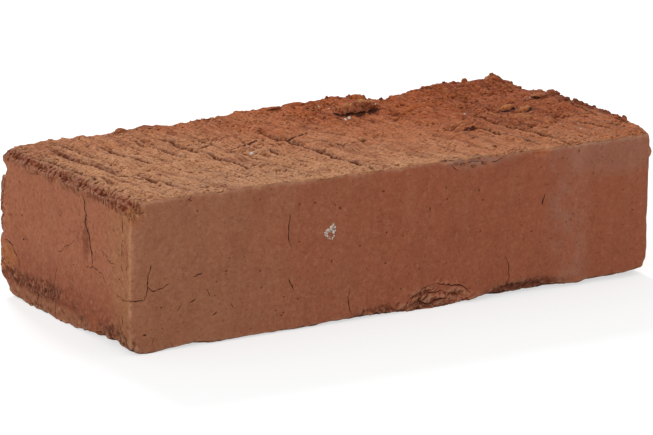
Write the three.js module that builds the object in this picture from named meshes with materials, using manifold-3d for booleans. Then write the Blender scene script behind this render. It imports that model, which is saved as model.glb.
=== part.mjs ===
// A solid clay brick, extruded and wire cut, in millimetres, +Z up.
//
// Stiff clay is pushed through a die as a column, and wires slice the column into bricks. The
// four upright faces keep the smooth skin of the die. The upper bed is the wire's torn cut: it
// slopes, is furrowed by dragged grit, and rises into a torn ridge along the back, where the
// wire came out, and along the right header. Handling and the kiln then wore and chipped the
// arrises. The lower bed is worn up towards its arrises and lies flat between them.
// The origin is the centre of the lower bed, +X runs along the brick and -Y is its front.

import * as THREE from 'three';
import { ImprovedNoise } from 'three/addons/math/ImprovedNoise.js';
import { mergeVertices } from 'three/addons/utils/BufferGeometryUtils.js';
import Module from 'manifold-3d';

const wasm = await Module();
wasm.setup();

// ---- The clay column, as the die shapes it ------------------------------------------------

const brick_length = 250;
const brick_width = 120;
const die_corner_radius = 1.0;
const lean_right = 1.75;        // lean of the column over the brick's height
const lean_front = 0.7;

// ---- The upper cut ------------------------------------------------------------------------

const brick_height = 65.4;      // lower bed to the cut, at the front left corner
const fall_to_right = 3.2;      // drop of the cut from the left header to the right one
const fall_to_back = 2.4;       // drop of the cut from the front to the back
const rise_of_far_corner = 1.4; // lift of the back right corner out of that plane
const drag_angle = THREE.MathUtils.degToRad(5);  // the wire's travel, off the header's direction
const bed_roughness = 0.35;     // wander of the torn clay about the cut
const swell_height = 1.5;       // broad swells and hollows that the wire tore in the stiff clay
const swell_size = 9.5;         // and half the distance from one swell to the next
const swell_margin = 16;        // they die away over this margin towards the arrises
const rib_height = 0.4;
const rib_pitches = [37, 17, 9.5];

// Torn ridges: pairs of a share of the arris and the ridge's height there. The back one runs
// from the left header to the right one, and the right one from the front to the back.
const back_ridge = [
  [0, 0], [0.06, 0.9], [0.13, 1.6], [0.19, 1.2], [0.24, 2.4], [0.32, 1.5], [0.38, 1.6],
  [0.46, 3.2], [0.55, 3.8], [0.66, 4.0], [0.71, 1.6], [0.75, 0.6], [0.81, 3.0], [0.87, 4.2],
  [0.92, 3.7], [0.96, 4.2], [1, 0.4],
];
const back_ridge_reach = 30;
const right_ridge = [
  [0, 0.4], [0.04, 2.2], [0.17, 3.8], [0.35, 4.4], [0.55, 4.4], [0.64, 3.3], [0.72, 3.6],
  [0.82, 1.2], [0.9, 0.4], [0.95, 1.4], [1, 0],
];
const right_ridge_reach = 52;

// Furrows of dragged grit: distance from the nearer header at mid-width, and the distances of
// the two ends from the front face.
const furrows = [
  { from_left: 10.5, back_end: 88, front_end: 15, width: 2.2, depth: 0.7 },
  { from_left: 18, back_end: 105, front_end: 46, width: 3.0, depth: 1.0 },
  { from_left: 27.5, back_end: 106, front_end: 80, width: 1.8, depth: 0.6 },
  { from_left: 67.5, back_end: 102, front_end: 39, width: 2.4, depth: 0.9 },
  { from_left: 95, back_end: 90, front_end: 33, width: 2.4, depth: 0.8 },
  { from_left: 111, back_end: 88, front_end: 10, width: 3.4, depth: 1.2 },
  { from_right: 56, back_end: 47, front_end: 13, width: 2.4, depth: 0.8 },
  { from_right: 44.5, back_end: 75, front_end: 4, width: 2.4, depth: 0.9 },
  { from_right: 14, back_end: 38, front_end: 18, width: 2.0, depth: 0.6 },
];
const furrow_run_out = 7;       // length over which a furrow's ends come up to the surface

// ---- Torn and worn arrises ----------------------------------------------------------------

const burr_rise = 1.0;          // crumbs along the back arris, where the wire came out
const burr_overhang = 0.7;
const left_tear_width = 3.0;    // ragged bevel of the left header's upper arris, on the bed
const left_tear_drop = 3.4;     // and down the header
const right_tear_width = 1.8;   // the same on the right header
const right_tear_drop = 1.8;
const front_arris_wear = 0.5;   // the clean arris where the wire went in
const foot_lift = 1.0;          // rise of the worn lower arrises at the back and right
const foot_slope = 3.1;         // how far that wear runs in under the brick, for each mm of rise
const upright_wear = 1.4;       // wander of the back left upright arris

// The same rise along the two lower arrises that took the knocks: pairs of a share of the
// arris, from the left header and from the front, and the rise there.
const front_foot = [
  [0, 1.5], [0.04, 0.4], [0.12, 1.5], [0.27, 0.7], [0.42, 1.8], [0.5, 1.5], [0.58, 1.2],
  [0.65, 2.8], [0.7, 3.0], [0.78, 2.7], [0.84, 2.3], [0.9, 2.7], [0.98, 3.2], [1, 4.4],
];
const left_foot = [
  [0, 1.2], [0.08, 2.2], [0.14, 3.4], [0.19, 4.2], [0.25, 3.6], [0.29, 2.4], [0.35, 1.2],
  [0.45, 0.2], [0.6, 0.4], [0.75, 0], [0.84, 0.6], [0.92, 1.2], [0.96, 2.2], [1, 3.2],
];

// Lumps that the wire rolled up and left on the bed, and a crumb stuck to the front right
// arris. Each place is a distance in from the nearer faces and down from the cut.
const lumps = [
  { from_right: 85, from_back: 16.5, below_cut: 0.6, long: 11, wide: 3.6, high: 4.4, turn: 3 },
  { from_right: 79, from_back: 2.5, below_cut: 1.2, long: 5.5, wide: 3.2, high: 3.0, turn: 0 },
  { from_right: 61, from_back: 70, below_cut: 0.9, long: 7, wide: 2.6, high: 2.3, turn: 14 },
  { from_right: 39, from_back: 79, below_cut: 0.9, long: 8, wide: 2.4, high: 2.2, turn: 35 },
  { from_right: 29, from_back: 49, below_cut: 1.2, long: 5.2, wide: 4.0, high: 2.8, turn: 20 },
  { from_right: 24, from_back: 58, below_cut: 1.2, long: 4.6, wide: 3.8, high: 2.8, turn: 70 },
  { from_right: 8, from_back: 43, below_cut: 0.8, long: 8, wide: 4.2, high: 3.0, turn: 10 },
  { from_right: 35, from_back: 2.5, below_cut: 1.6, long: 7, wide: 4, high: 3.4, turn: 10 },
  { from_right: 9, from_back: 3.4, below_cut: 1.6, long: 4.6, wide: 4, high: 3.4, turn: 40 },
  { from_right: 0.4, from_front: 0.8, below_cut: 8.2, long: 1.4, wide: 1.6, high: 2.6, turn: 0 },
];

// Chips and bites. Each place is measured from the nearer faces, and from the lower bed or
// down from the cut, and each size is half the bite's extent.
const chips = [
  { from_left: 140, from_front: -0.6, above_bed: 4.5, long: 9, deep: 4.2, high: 6.5 },
  { from_left: 151, from_front: -0.5, above_bed: 2.5, long: 12, deep: 3.6, high: 5.5 },
  { from_left: 133, from_front: -0.4, above_bed: 3, long: 5, deep: 2.2, high: 5 },
  { from_right: 65, from_front: -0.6, above_bed: 1.4, long: 15, deep: 3.2, high: 4.6 },
  { from_right: 88, from_front: -0.4, below_cut: 0.8, long: 13, deep: 1.9, high: 3.6 },
  { from_right: 55, from_front: -0.6, below_cut: 0.4, long: 5, deep: 1.8, high: 2.6 },
  { from_left: -0.6, from_front: 4, below_cut: 1.2, long: 3.4, deep: 6.5, high: 7 },
  { from_left: -1, from_front: -0.5, above_bed: 0, long: 5, deep: 5, high: 3 },
  { from_left: -0.5, from_back: -0.5, above_bed: 55, long: 5, deep: 5.5, high: 3.4 },
  { from_left: -1.5, from_back: -1.5, above_bed: -1, long: 8, deep: 8, high: 10 },
  { from_left: 0, from_back: -0.5, above_bed: 27.5, long: 3, deep: 2.8, high: 2 },
  { from_right: -1.2, from_front: 0, above_bed: 0, long: 4, deep: 9, high: 8 },
  { from_right: 21, from_front: 40, below_cut: 0, long: 3.6, deep: 6.5, high: 1.5 },
  { from_right: 4, from_front: 62, below_cut: 0, long: 4.6, deep: 3.4, high: 1.8 },
  { from_right: 16, from_back: 1, below_cut: 0.4, long: 5, deep: 4, high: 2 },
  { from_right: 61, from_back: 74, below_cut: 0, long: 6.6, deep: 1.9, high: 1.5, turn: 9 },
  { from_right: 38, from_back: 83, below_cut: 0, long: 7, deep: 2, high: 1.6, turn: 30 },
  { from_left: 108, from_back: 46, below_cut: 0, long: 3.4, deep: 6.2, high: 1.6 },
  { from_left: 25, from_front: 29, below_cut: 0, long: 4.2, deep: 6, high: 1.2 },
  { from_left: 59, from_back: 21, below_cut: 0, long: 3.8, deep: 2.8, high: 1.3 },
];
const lip = { from_left: 146, from_front: 3.4, above_bed: 4, long: 8, deep: 2.6, high: 4 };

// The widest crack of the left header, from its torn upper arris down.
const crack = [
  { from_front: 43, below_top: 2, gape: 0.9 },
  { from_front: 41.4, below_top: 9, gape: 1.3 },
  { from_front: 41, below_top: 16, gape: 1.2 },
  { from_front: 37.5, below_top: 24, gape: 0.6 },
  { from_front: 34.6, below_top: 33, gape: 0.4 },
];
const crack_depth = 3;

const rock_roughness = 0.2;     // how far the corners of a lump or bite stray from round
const noise_seed = 11;

// ---- Shared geometry ------------------------------------------------------------------------

const left_face = -brick_length / 2;
const right_face = brick_length / 2;
const front_face = -brick_width / 2;
const back_face = brick_width / 2;
const drag_slope = Math.tan(drag_angle);

THREE.MathUtils.seededRandom(noise_seed);
const torn = new ImprovedNoise();

function between(low, high) {
  return low + (high - low) * THREE.MathUtils.seededRandom();
}

// Reads pairs of share and value at a share of the way along an arris.
function read_along(pairs, share) {
  const line = new THREE.LinearInterpolant(pairs.map((pair) => pair[0]), pairs.map((pair) => pair[1]), 1);
  return line.evaluate(THREE.MathUtils.clamp(share, 0, 1))[0];
}

// How far along the brick a feature lies, from whichever header it is measured from.
function along(feature) {
  return 'from_left' in feature ? left_face + feature.from_left : right_face - feature.from_right;
}

// The geometry with only its positions, and one vertex where several met.
function welded(geometry) {
  const bare = geometry.clone();
  bare.deleteAttribute('normal');
  bare.deleteAttribute('uv');
  return mergeVertices(bare, 1e-5);
}

// A manifold solid from a closed geometry.
function solid(geometry) {
  const merged = welded(geometry);
  return new wasm.Manifold(new wasm.Mesh({
    numProp: 3,
    vertProperties: merged.attributes.position.array,
    triVerts: merged.index.array,
  }));
}

function union(solids) {
  return wasm.Manifold.union(solids);
}

// ---- The upper cut --------------------------------------------------------------------------

// A ridge falls away smoothly from its arris and ends at its reach.
function ridge_height(ridge, share, from_arris, reach) {
  return read_along(ridge, share) * (1 - THREE.MathUtils.smoothstep(from_arris, 0, reach));
}

// Torn swells of the bed, which leave the arrises as the ridges give them.
function swell(x, y) {
  const from_arris = Math.min(x - left_face, right_face - x, y - front_face, back_face - y);
  const share = THREE.MathUtils.smoothstep(from_arris, 0, swell_margin);
  return swell_height * share * torn.noise(x / swell_size, y / swell_size, noise_seed);
}

// The cut's height at a point of the bed, without its furrows.
function cut_height(x, y) {
  const right = (x - left_face) / brick_length;
  const back = (y - front_face) / brick_width;
  const plane = brick_height - fall_to_right * right - fall_to_back * back
    + rise_of_far_corner * right * back;
  const behind = ridge_height(back_ridge, right, back_face - y, back_ridge_reach);
  const beside = ridge_height(right_ridge, back, right_face - x, right_ridge_reach);
  let ribs = 0;
  for (const pitch of rib_pitches) {
    ribs += rib_height / rib_pitches.length * Math.sin(2 * Math.PI * (x + y * drag_slope) / pitch);
  }
  return plane + behind + beside + ribs + swell(x, y);
}

function furrow_depth(furrow, drag_line, y) {
  const off_centre = Math.abs(drag_line - along(furrow)) / (furrow.width / 2);
  const from_front = y - front_face;
  const from_end = Math.min(from_front - furrow.front_end, furrow.back_end - from_front);
  const fade = THREE.MathUtils.clamp(from_end / furrow_run_out, 0, 1);
  return furrow.depth * fade * Math.max(0, 1 - off_centre);
}

// Drag lines run at the drag angle in the brick's middle and turn square to meet the headers.
function drag_shift(x, y) {
  return -y * drag_slope * (1 - (x / right_face) ** 6);
}

// ---- The brick's body -----------------------------------------------------------------------

const grid_pitch_along = 4.4;   // of the lattice that carries the surface, along the brick
const grid_pitch_across = 4.6;
const grid_pitch_up = 12;
const bed_stock = 3;            // clay below the lower bed, trimmed off flat

// Lines from low to high about a pitch apart, with the wanted ones set in exactly.
function lattice_lines(low, high, pitch, wanted) {
  const fixed = [low, ...wanted, high].sort((a, b) => a - b);
  const lines = [low];
  for (let i = 1; i < fixed.length; i += 1) {
    const gap = fixed[i] - fixed[i - 1];
    const steps = Math.max(1, Math.round(gap / pitch));
    for (let step = 1; step <= steps; step += 1) lines.push(fixed[i - 1] + gap * step / steps);
  }
  return lines;
}

function furrow_lines() {
  return furrows.flatMap((furrow) => [-0.5, 0, 0.5].map((side) => along(furrow) + side * furrow.width));
}

// The lower bed, worn up to its arrises. Its middle lies below the bed, and is trimmed later.
function foot_height(x, y) {
  const worn = between(0.8, 1.2);
  return Math.max(
    -bed_stock,
    worn * read_along(front_foot, (x - left_face) / brick_length) - (y - front_face) / foot_slope,
    worn * read_along(left_foot, (y - front_face) / brick_width) - (x - left_face) / foot_slope,
    worn * foot_lift - Math.min(right_face - x, back_face - y) / foot_slope,
  );
}

// Sets a point of the square section back on the die's rounded corner.
function round_upright(point) {
  const inner = new THREE.Vector3(
    THREE.MathUtils.clamp(point.x, left_face + die_corner_radius, right_face - die_corner_radius),
    THREE.MathUtils.clamp(point.y, front_face + die_corner_radius, back_face - die_corner_radius),
    point.z,
  );
  const out = new THREE.Vector3().subVectors(point, inner);
  if (out.x !== 0 && out.y !== 0) out.setLength(die_corner_radius);
  point.copy(inner).add(out);
}

// Tears and wears one lattice point, told which faces it lies on.
function wear(point, on) {
  const tear = (x, y, z, least) => point.add(new THREE.Vector3(x, y, z).multiplyScalar(between(least, 1)));
  if (on.top) tear(0, 0, bed_roughness, -1);
  if (on.top && on.left) tear(left_tear_width, 0, -left_tear_drop, 0.25);
  if (on.top && on.right) tear(-right_tear_width, 0, -right_tear_drop, 0);
  if (on.top && on.back) tear(0, burr_overhang, burr_rise, -0.5);
  if (on.top && on.front) tear(0, 0, -front_arris_wear, 0);
  if (on.left && on.back) tear(0, upright_wear, 0, 0);
}

function clay_body() {
  const columns = lattice_lines(left_face, right_face, grid_pitch_along, [
    left_face + left_tear_width, ...furrow_lines(), right_face - right_tear_width,
  ]);
  const rows = lattice_lines(front_face, back_face, grid_pitch_across, [
    front_face + die_corner_radius, back_face - die_corner_radius,
  ]);
  const levels = lattice_lines(0, brick_height, grid_pitch_up, [brick_height - left_tear_drop]);
  const cage = new THREE.BoxGeometry(1, 1, 1, columns.length - 1, rows.length - 1, levels.length - 1);
  cage.translate(0.5, 0.5, 0.5);
  const lattice = welded(cage);
  const points = lattice.attributes.position;
  const point = new THREE.Vector3();
  for (let i = 0; i < points.count; i += 1) {
    const column = Math.round(points.getX(i) * (columns.length - 1));
    const row = Math.round(points.getY(i) * (rows.length - 1));
    const level = Math.round(points.getZ(i) * (levels.length - 1));
    const [drag_line, y] = [columns[column], rows[row]];
    const x = drag_line + drag_shift(drag_line, y);
    const furrow = Math.max(...furrows.map((each) => furrow_depth(each, drag_line, y)));
    const [low, high] = [foot_height(x, y), cut_height(x, y) - furrow];
    point.set(x, y, THREE.MathUtils.lerp(low, high, levels[level] / brick_height));
    round_upright(point);
    wear(point, {
      left: column === 0,
      right: column === columns.length - 1,
      front: row === 0,
      back: row === rows.length - 1,
      top: level === levels.length - 1,
    });
    points.setXYZ(i, point.x, point.y, point.z);
  }
  return solid(lattice);
}

function above_bed() {
  const block = new THREE.BoxGeometry(2 * brick_length, 2 * brick_width, 2 * brick_height);
  block.translate(0, 0, brick_height);
  return solid(block);
}

// ---- Lumps, chips and the crack -------------------------------------------------------------

// A faceted lump, round but for its strayed corners, turned at random and then stretched.
function rock(place, long, deep, high, turn = 0) {
  const geometry = welded(new THREE.IcosahedronGeometry(1, 1));
  const corners = geometry.attributes.position;
  const corner = new THREE.Vector3();
  for (let i = 0; i < corners.count; i += 1) {
    corner.fromBufferAttribute(corners, i);
    corner.multiplyScalar(between(1 - rock_roughness, 1 + rock_roughness));
    corners.setXYZ(i, corner.x, corner.y, corner.z);
  }
  geometry.rotateX(between(0, Math.PI));
  geometry.rotateZ(between(0, Math.PI));
  geometry.scale(long, deep, high);
  geometry.rotateZ(THREE.MathUtils.degToRad(turn));
  geometry.translate(place.x, place.y, place.z);
  return solid(geometry);
}

// A feature's place, from whichever faces it is measured from.
function place_of(feature) {
  const x = along(feature);
  const y = 'from_front' in feature ? front_face + feature.from_front : back_face - feature.from_back;
  const z = 'above_bed' in feature ? feature.above_bed : cut_height(x, y) - feature.below_cut;
  return new THREE.Vector3(x, y, z);
}

function lump(feature) {
  return rock(place_of(feature), feature.long, feature.wide, feature.high, feature.turn);
}

function bite(feature) {
  return rock(place_of(feature), feature.long, feature.deep, feature.high, feature.turn);
}

// A crack is cut by thin lozenge bars laid end to end along the header's face.
function crack_bars() {
  const corners = crack.map(({ from_front, below_top }) => (
    new THREE.Vector3(left_face, front_face + from_front, brick_height - below_top)
  ));
  const bars = [];
  for (let i = 1; i < crack.length; i += 1) {
    const run = new THREE.Vector3().subVectors(corners[i - 1], corners[i]);
    const bar = new THREE.CylinderGeometry(crack[i - 1].gape / 2, crack[i].gape / 2, run.length() * 1.04, 4);
    bar.scale(2 * crack_depth / crack[i].gape, 1, 1);
    bar.rotateX(Math.PI / 2);
    bar.rotateX(-Math.atan2(run.y, run.z));
    const middle = new THREE.Vector3().addVectors(corners[i - 1], corners[i]).multiplyScalar(0.5);
    bar.translate(middle.x, middle.y, middle.z);
    bars.push(solid(bar));
  }
  return union(bars);
}

// ---- The brick ------------------------------------------------------------------------------

// The column leans about the middle of its height, and takes everything on it along.
function lean(geometry) {
  geometry.translate(0, 0, -brick_height / 2);
  const per_height = new THREE.Vector2(lean_right, -lean_front).divideScalar(brick_height);
  geometry.applyMatrix4(new THREE.Matrix4().makeShear(0, 0, 0, 0, per_height.x, per_height.y));
  geometry.translate(0, 0, brick_height / 2);
}

function brick_geometry() {
  const brick = clay_body()
    .add(union(lumps.map(lump)))
    .subtract(union(chips.map(bite)))
    .add(bite(lip))
    .subtract(crack_bars())
    .intersect(above_bed());
  const mesh = brick.getMesh();
  const geometry = new THREE.BufferGeometry();
  geometry.setAttribute('position', new THREE.BufferAttribute(mesh.vertProperties, 3));
  geometry.setIndex(new THREE.BufferAttribute(mesh.triVerts, 1));
  lean(geometry);
  geometry.computeVertexNormals();
  return geometry;
}

const fired_clay = new THREE.MeshStandardMaterial({ color: 0x955239, roughness: 0.95, metalness: 0 });
fired_clay.name = 'fired_clay';

const brick = new THREE.Mesh(brick_geometry(), fired_clay);
brick.name = 'brick';

const part = new THREE.Group();
part.name = 'clay_brick';
part.add(brick);

export default part;
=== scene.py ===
# A solid fired-clay brick. Stiff clay is pushed through a die, a wire slices the column into
# bricks, and they are dried and fired. The upright faces keep the die's skin and the upper bed
# is the wire's torn cut. Lengths are in millimetres, turned into metres by mm.

import math
import random

import bpy
from mathutils import Matrix, Vector


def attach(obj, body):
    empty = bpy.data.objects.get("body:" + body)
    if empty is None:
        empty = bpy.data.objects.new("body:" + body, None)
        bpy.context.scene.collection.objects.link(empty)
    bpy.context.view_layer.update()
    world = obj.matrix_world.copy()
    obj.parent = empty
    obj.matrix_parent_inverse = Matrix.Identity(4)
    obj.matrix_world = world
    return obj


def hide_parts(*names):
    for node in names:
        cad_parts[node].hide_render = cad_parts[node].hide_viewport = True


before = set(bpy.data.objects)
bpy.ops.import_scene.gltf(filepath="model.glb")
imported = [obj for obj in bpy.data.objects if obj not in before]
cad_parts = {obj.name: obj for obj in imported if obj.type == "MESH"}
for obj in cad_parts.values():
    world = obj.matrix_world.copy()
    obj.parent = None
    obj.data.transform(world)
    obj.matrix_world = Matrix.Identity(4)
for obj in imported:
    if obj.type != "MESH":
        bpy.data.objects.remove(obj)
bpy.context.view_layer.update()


# ---- The clay body ----------------------------------------------------------
# The block of stiff clay as the die and the wire left it, with its furrows, lumps and chips.
# Its faceted form is turned into one even skin of small facets, fine enough to be torn and
# worn in the sections below.

mm = 0.001
skin_facet = 0.6  # size of the skin's facets
left, right, front, back = -125.0, 125.0, -60.0, 60.0  # the die's opening, before the column leans


def choose(*pieces):
    """Selects these pieces and no others, and makes the first of them active."""
    bpy.ops.object.select_all(action="DESELECT")
    for each in pieces:
        each.select_set(True)
    bpy.context.view_layer.objects.active = pieces[0]


brick = bpy.data.objects.new("fired_brick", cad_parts["brick"].data.copy())
bpy.context.collection.objects.link(brick)
choose(brick)
bpy.ops.object.mode_set(mode="EDIT")
bpy.ops.mesh.select_all(action="SELECT")
bpy.ops.mesh.remove_doubles(threshold=0.001 * mm)
bpy.ops.object.mode_set(mode="OBJECT")


def apply_modifier(kind, **settings):
    """Adds a modifier to the active piece, sets it up and applies it."""
    modifier = bpy.context.object.modifiers.new(kind.lower(), kind)
    for name, value in settings.items():
        setattr(modifier, name, value)
    bpy.ops.object.modifier_apply(modifier=modifier.name)


apply_modifier("REMESH", mode="VOXEL", voxel_size=skin_facet * mm)


# ---- The faces of the brick -------------------------------------------------
# The wire's torn cut covers the upper bed and breaks over the left header's upper arris. The
# rest is die skin. Both are marked on the mesh here, for the relief and the colours to follow.

def node(tree, kind, inputs=(), **settings):
    """A new node with its settings, each input set to a value or linked to another's output."""
    made = tree.nodes.new(kind)
    for name, value in settings.items():
        setattr(made, name, value)
    for name, value in dict(inputs).items():
        if isinstance(name, int):
            socket = made.inputs[name]
        else:
            socket = next(each for each in made.inputs if each.name == name and each.enabled)
        if isinstance(value, bpy.types.NodeSocket):
            tree.links.new(value, socket)
        else:
            socket.default_value = value
    return made


def output(made):
    return next(each for each in made.outputs if each.enabled)


def calc(tree, operation, *terms):
    return output(node(tree, "ShaderNodeMath", dict(enumerate(terms)), operation=operation))


def total(tree, *terms):
    """The sum of several values."""
    summed = terms[0]
    for term in terms[1:]:
        summed = calc(tree, "ADD", summed, term)
    return summed


def product(tree, *terms):
    made = terms[0]
    for term in terms[1:]:
        made = calc(tree, "MULTIPLY", made, term)
    return made


def vector_calc(tree, operation, *terms):
    return output(node(tree, "ShaderNodeVectorMath", dict(enumerate(terms)), operation=operation))


def rise(tree, value, low, high, start=0.0, end=1.0):
    """Goes smoothly from start to end while the value goes from low to high."""
    return output(node(tree, "ShaderNodeMapRange", {
        "Value": value, "From Min": low, "From Max": high, "To Min": start, "To Max": end,
    }, interpolation_type="SMOOTHSTEP"))


def noise(tree, place, size, detail=2.0, roughness=0.5):
    """Random clouds about that many millimetres across, from 0 to 1."""
    return node(tree, "ShaderNodeTexNoise", {
        "Vector": place, "Scale": 1.0 / size, "Detail": detail, "Roughness": roughness,
    }).outputs[0]


def swing(tree, value, amount):
    """Turns a value round one half into plus or minus the amount."""
    return calc(tree, "MULTIPLY_ADD", value, 2.0 * amount, -amount)


def split(tree, vector):
    return node(tree, "ShaderNodeSeparateXYZ", {"Vector": vector}).outputs


def new_relief(name):
    """A node tree that shapes the mesh, its incoming mesh, and each point's place in mm."""
    tree = bpy.data.node_groups.new(name, "GeometryNodeTree")
    for way in ("INPUT", "OUTPUT"):
        tree.interface.new_socket("Geometry", in_out=way, socket_type="NodeSocketGeometry")
    position = output(node(tree, "GeometryNodeInputPosition"))
    place = vector_calc(tree, "DIVIDE", position, (mm, mm, mm))
    mesh = node(tree, "NodeGroupInput").outputs[0]
    return tree, mesh, place


def blurred(tree, value, steps):
    """A place or direction evened out with its neighbours on the mesh, a number of times."""
    return output(node(tree, "GeometryNodeBlurAttribute", {"Value": value, "Iterations": steps},
                       data_type="FLOAT_VECTOR"))


def remember(tree, mesh, name, value):
    """Writes a value on the mesh as a named mark, which later relief and the colours read."""
    return node(tree, "GeometryNodeStoreNamedAttribute", {
        "Geometry": mesh, "Name": name, "Value": value}, data_type="FLOAT", domain="POINT").outputs[0]


def push(tree, mesh, direction, distance):
    """Moves the mesh's points along a direction by a distance in millimetres."""
    offset = node(tree, "ShaderNodeVectorMath", {
        0: direction, "Scale": calc(tree, "MULTIPLY", distance, mm)}, operation="SCALE")
    return node(tree, "GeometryNodeSetPosition", {
        "Geometry": mesh, "Offset": output(offset)}).outputs[0]


def apply_relief(tree, mesh):
    """Closes the node tree and shapes the brick with it for good."""
    node(tree, "NodeGroupOutput", {"Geometry": mesh})
    apply_modifier("NODES", node_group=tree)


def normal(tree, steps=3):
    """Which way the skin faces, without its finest grain."""
    facing = blurred(tree, output(node(tree, "GeometryNodeInputNormal")), steps)
    return vector_calc(tree, "NORMALIZE", facing)


fibre_pitch = 3.4             # from one fibre of the comb to the next
fibre_lay = (-0.3, 1.0, 0.1)  # square to the fibres


def strands(tree, place):
    """Fibres laid over the left arris: 0 in the gaps between them, 0.5 along their middles."""
    lay = node(tree, "ShaderNodeVectorMath", {0: place, 1: fibre_lay}, operation="DOT_PRODUCT")
    bent = swing(tree, noise(tree, place, 10.0, 3.0, 0.6), 5.0)
    frayed = swing(tree, noise(tree, place, 2.2, 2.0), 0.6)
    return calc(tree, "PINGPONG", calc(
        tree, "DIVIDE", total(tree, lay.outputs["Value"], bent, frayed), fibre_pitch), 0.5)


marks, mesh, place = new_relief("faces_of_the_brick")
x, y, z = split(marks, place)
upward = split(marks, normal(marks, 4))[2]
cut_face = product(marks, rise(marks, upward, 0.45, 0.8), rise(marks, z, 50.0, 54.0))
ragged = total(marks, z, product(marks, strands(marks, place), 5.0),
               swing(marks, noise(marks, place, 5.0, 3.0), 4.0))
over_arris = product(marks, rise(marks, ragged, 60.4, 61.2), rise(marks, x, -113.0, -119.0))
header_band = product(marks, over_arris, rise(marks, x, -118.0, -121.0))
mesh = remember(marks, mesh, "over_arris", over_arris)
mesh = remember(marks, mesh, "torn", calc(marks, "MAXIMUM", cut_face, header_band))
eased = vector_calc(marks, "SUBTRACT", blurred(marks, place, 2), place)
mesh = push(marks, mesh, eased, rise(marks, cut_face, 0.4, 0.9))
apply_relief(marks, mesh)


# ---- The wire-torn bed ------------------------------------------------------
# The wire drags grit through the stiff clay, so the cut is torn into crumbs, pits and furrows
# that run with its travel, and into short open tears across it. The back right tore worst.

drag = (0.09, -1.0, 0.0)  # the way of the wire's travel over the bed

# Furrows and tears, each from one place on the bed to another, with its width, its depth, and
# the height of the lip that was pushed up along its front or left side.
furrows = [
    ((-119.5, 36), (-114, -27), 2.2, 0.7, 0.2), ((-109, 46), (-104.2, -10), 3.2, 0.3, 0.1),
    ((-103.5, 52), (-98, 24), 2.0, 0.6, 0.1), ((-98.5, -15), (-97, -43), 1.8, 0.5, 0.1),
    ((-59, 42), (-52.2, -27), 2.2, 1.1, 0.3), ((-32.5, 31), (-30, 24), 2.2, 0.8, 0.1),
    ((-31, 9), (-27.5, -31), 2.0, 1.1, 0.3), ((-15.5, 30), (-9.5, -56), 3.6, 1.5, 0.4),
    ((-17, 31), (-13, 6), 5.0, 0.5, 0.2),
    ((-3, 4), (4, -19), 1.6, 0.9, 0.1), ((69.5, -10), (74.5, -51), 2.6, 1.6, 0.6),
    ((79, 10), (86.5, -59), 2.4, 1.3, 0.5), ((107, -32), (111.5, -49), 1.6, 0.9, 0.1),
    ((119, -1), (116.5, -32), 1.4, 0.7, 0.1), ((-88, 40), (-84, 0), 1.6, 0.5, 0.1),
    ((-72, 44), (-67, 0), 1.6, 0.5, 0.1), ((-46, 40), (-41, -20), 1.6, 0.5, 0.1),
]
tears = [
    ((-50, -25.5), (-41, -24.5), 2.2, 1.0, 0.7), ((-55, 16), (-44, 19), 2.4, 0.8, 0.2),
    ((57, -8.5), (71, -1.5), 1.8, 1.1, 0.7), ((56, -15), (67, -12), 2.2, 1.2, 0.6),
    ((55, -28), (69, -22.5), 1.4, 0.7, 0.3),
    ((100, -13), (116, -26), 1.6, 1.0, 0.3), ((-121, -14), (-108, -11), 2.0, 0.8, 0.3),
    ((-108, -11), (-96, -32), 2.0, 0.7, 0.3),
]


def bump_between(tree, value, low, high, soft):
    """One between low and high, fading to nothing over a soft margin outside them."""
    begins = rise(tree, value, low - soft, low)
    ends = rise(tree, value, high, high + soft, 1.0, 0.0)
    return product(tree, begins, ends)


def groove(tree, place, wander, broken, start, end, width, depth, lip):
    """One ragged groove in the bed: where its torn wall is painted in shade, and its relief."""
    start, end = Vector((*start, 0)), Vector((*end, 0))
    along = (end - start).normalized()
    across = Vector((along.y, -along.x, 0))
    from_start = vector_calc(tree, "SUBTRACT", place, tuple(start))
    onward, aside = (node(tree, "ShaderNodeVectorMath", {0: from_start, 1: tuple(way)},
                          operation="DOT_PRODUCT").outputs["Value"] for way in (along, across))
    aside = total(tree, aside, wander)
    run = product(tree, bump_between(tree, onward, 4.0, (end - start).length - 4.0, 8.0), broken)
    from_middle = calc(tree, "ABSOLUTE", aside)
    from_wall = calc(tree, "ABSOLUTE", total(tree, aside, 0.3 * width))
    inside = product(tree, run, rise(tree, from_wall, 0.1 * width, width, 1.0, 0.0))
    sunk = rise(tree, from_middle, 0.1 * width, 0.6 * width, -1.3 * depth, 0.0)
    edge = bump_between(tree, aside, 0.7 * width, 0.7 * width + 0.8, 1.0)
    return inside, total(tree, product(tree, run, sunk), product(tree, run, edge, lip))


any_height = 1e6
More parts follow.
